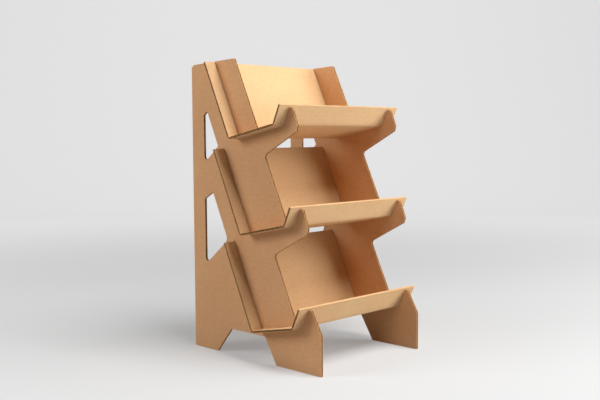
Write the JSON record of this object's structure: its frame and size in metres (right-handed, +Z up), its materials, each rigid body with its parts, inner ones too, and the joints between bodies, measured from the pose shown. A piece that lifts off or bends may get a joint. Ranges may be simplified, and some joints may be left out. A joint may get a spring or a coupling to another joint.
{
  "type": "cardboard display stand",
  "caption": "Counter display stand of corrugated cardboard: slotted side panels carry folded tray shelves, stepped down towards the front.",
  "frame": {"origin": "on the floor, under the middle of the stand's box", "axes": "+Z up, +X to the right as seen from the front, the front faces -Y"},
  "size_m": [0.2936, 0.3116, 0.5073],
  "materials": {
    "kraft_board": "matte"
  },
  "bodies": {
    "root": {"side_panel_left": "kraft_board", "side_panel_right": "kraft_board", "shelf_top": "kraft_board", "shelf_middle": "kraft_board", "shelf_bottom": "kraft_board"}
  },
  "joints": []
}
